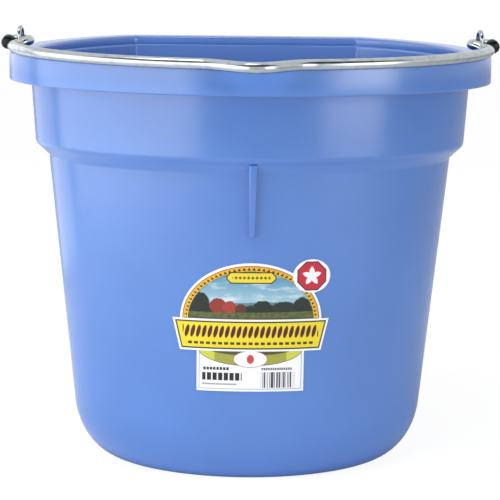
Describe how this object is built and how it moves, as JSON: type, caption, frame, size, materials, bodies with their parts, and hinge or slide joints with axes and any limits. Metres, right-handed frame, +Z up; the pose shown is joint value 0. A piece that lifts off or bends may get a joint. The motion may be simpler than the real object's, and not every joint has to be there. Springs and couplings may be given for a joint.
{
  "type": "feed bucket",
  "caption": "Flat-back plastic feed bucket with a hanging rim band, a stepped wall, a printed paper label and a steel bail that swings in wire eyes.",
  "frame": {"origin": "on the underside of the base, straight below the line through the two bail eyes, in the part's middle plane", "axes": "+Z up, +Y towards the flat back, -Y towards the rounded front with the label, +X towards the eye on the right of somebody who faces the front"},
  "size_m": [0.3726, 0.3482, 0.3285],
  "materials": {
    "blue_plastic": "satin moulded polyethylene",
    "galvanised_steel": "galvanised, satin",
    "black_vinyl": "soft dipped vinyl",
    "eye_wire": "galvanised, bright",
    "plate_steel": "galvanised",
    "printed_paper": "coated, printed"
  },
  "bodies": {
    "bucket": {"bucket_shell": "blue_plastic", "eye_left": "eye_wire", "eye_right": "eye_wire", "eye_plate_left": "plate_steel", "eye_plate_right": "plate_steel", "label": "printed_paper"},
    "bail": {"bail": "galvanised_steel", "bail_cap_left": "black_vinyl", "bail_cap_right": "black_vinyl"}
  },
  "joints": [
    {"name": "bail_pivot", "type": "hinge", "parent": "bucket", "child": "bail", "pos_m": [0, 0, 0.3175], "axis": [-1, 0, 0], "range_deg": [0, 183]}
  ]
}
